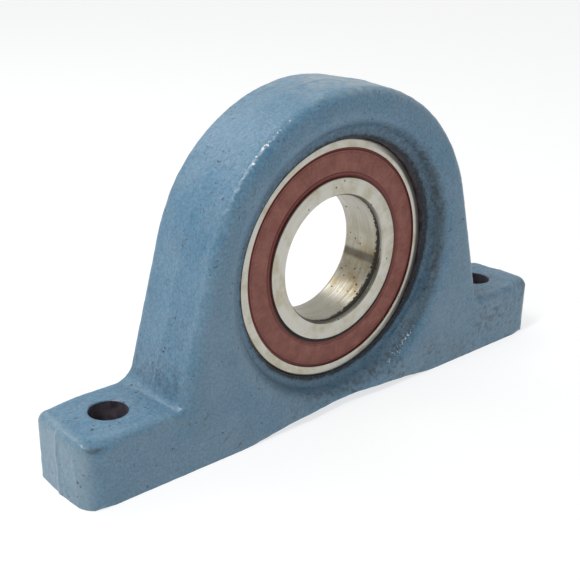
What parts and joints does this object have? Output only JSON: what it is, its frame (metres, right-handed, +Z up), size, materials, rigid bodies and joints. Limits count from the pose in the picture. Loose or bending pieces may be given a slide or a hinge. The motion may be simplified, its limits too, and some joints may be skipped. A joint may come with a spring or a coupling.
{
  "type": "pillow block ball bearing",
  "caption": "Painted cast iron pillow block on bolted feet, holding a rubber-sealed deep groove ball bearing that carries a rotating shaft.",
  "frame": {"origin": "centre of the housing's base, on the plane it stands on, straight below the shaft axis", "axes": "+X along the base from foot to foot, +Y along the shaft axis from the open front of the seat to the shoulder at the rear, +Z up"},
  "size_m": [0.2128, 0.0324, 0.1142],
  "materials": {
    "painted_cast_iron": "satin steel-blue paint over sand-cast iron",
    "ground_bearing_steel": "ground, lightly stained",
    "polished_ball_steel": "polished",
    "pressed_cage_steel": "pressed strip, oiled",
    "seal_plate_steel": "pressed sheet",
    "seal_rubber": "matte red-brown nitrile rubber"
  },
  "bodies": {
    "block": {"housing": "painted_cast_iron", "outer_ring": "ground_bearing_steel", "seal_front_rubber": "seal_rubber", "seal_front_plate": "seal_plate_steel", "seal_rear_rubber": "seal_rubber", "seal_rear_plate": "seal_plate_steel"},
    "inner_ring": {"inner_ring": "ground_bearing_steel"},
    "cage": {"cage_front": "pressed_cage_steel", "cage_rear": "pressed_cage_steel", "cage_rivets": "pressed_cage_steel"},
    "ball_01": {"ball_01": "polished_ball_steel"},
    "ball_02": {"ball_02": "polished_ball_steel"},
    "ball_03": {"ball_03": "polished_ball_steel"},
    "ball_04": {"ball_04": "polished_ball_steel"},
    "ball_05": {"ball_05": "polished_ball_steel"},
    "ball_06": {"ball_06": "polished_ball_steel"},
    "ball_07": {"ball_07": "polished_ball_steel"},
    "ball_08": {"ball_08": "polished_ball_steel"},
    "ball_09": {"ball_09": "polished_ball_steel"}
  },
  "joints": [
    {"name": "inner_ring_spin", "type": "hinge", "parent": "block", "child": "inner_ring", "pos_m": [0, 0.0015, 0.053], "axis": [0, 1, 0], "continuous": true},
    {"name": "cage_orbit", "type": "hinge", "parent": "block", "child": "cage", "pos_m": [0, 0.0015, 0.053], "axis": [0, 1, 0], "continuous": true},
    {"name": "ball_01_spin", "type": "hinge", "parent": "cage", "child": "ball_01", "pos_m": [0, 0.0015, 0.0855], "axis": [0, 1, 0], "continuous": true},
    {"name": "ball_02_spin", "type": "hinge", "parent": "cage", "child": "ball_02", "pos_m": [0.02089, 0.0015, 0.0779], "axis": [0, 1, 0], "continuous": true},
    {"name": "ball_03_spin", "type": "hinge", "parent": "cage", "child": "ball_03", "pos_m": [0.03201, 0.0015, 0.05864], "axis": [0, 1, 0], "continuous": true},
    {"name": "ball_04_spin", "type": "hinge", "parent": "cage", "child": "ball_04", "pos_m": [0.02815, 0.0015, 0.03675], "axis": [0, 1, 0], "continuous": true},
    {"name": "ball_05_spin", "type": "hinge", "parent": "cage", "child": "ball_05", "pos_m": [0.01112, 0.0015, 0.02246], "axis": [0, 1, 0], "continuous": true},
    {"name": "ball_06_spin", "type": "hinge", "parent": "cage", "child": "ball_06", "pos_m": [-0.01112, 0.0015, 0.02246], "axis": [0, 1, 0], "continuous": true},
    {"name": "ball_07_spin", "type": "hinge", "parent": "cage", "child": "ball_07", "pos_m": [-0.02815, 0.0015, 0.03675], "axis": [0, 1, 0], "continuous": true},
    {"name": "ball_08_spin", "type": "hinge", "parent": "cage", "child": "ball_08", "pos_m": [-0.03201, 0.0015, 0.05864], "axis": [0, 1, 0], "continuous": true},
    {"name": "ball_09_spin", "type": "hinge", "parent": "cage", "child": "ball_09", "pos_m": [-0.02089, 0.0015, 0.0779], "axis": [0, 1, 0], "continuous": true}
  ],
  "couplings": [
    {"joint": "cage_orbit", "follows": "inner_ring_spin", "ratio": 0.40231},
    {"joint": "ball_01_spin", "follows": "inner_ring_spin", "ratio": -2.4614},
    {"joint": "ball_02_spin", "follows": "inner_ring_spin", "ratio": -2.4614},
    {"joint": "ball_03_spin", "follows": "inner_ring_spin", "ratio": -2.4614},
    {"joint": "ball_04_spin", "follows": "inner_ring_spin", "ratio": -2.4614},
    {"joint": "ball_05_spin", "follows": "inner_ring_spin", "ratio": -2.4614},
    {"joint": "ball_06_spin", "follows": "inner_ring_spin", "ratio": -2.4614},
    {"joint": "ball_07_spin", "follows": "inner_ring_spin", "ratio": -2.4614},
    {"joint": "ball_08_spin", "follows": "inner_ring_spin", "ratio": -2.4614},
    {"joint": "ball_09_spin", "follows": "inner_ring_spin", "ratio": -2.4614}
  ]
}
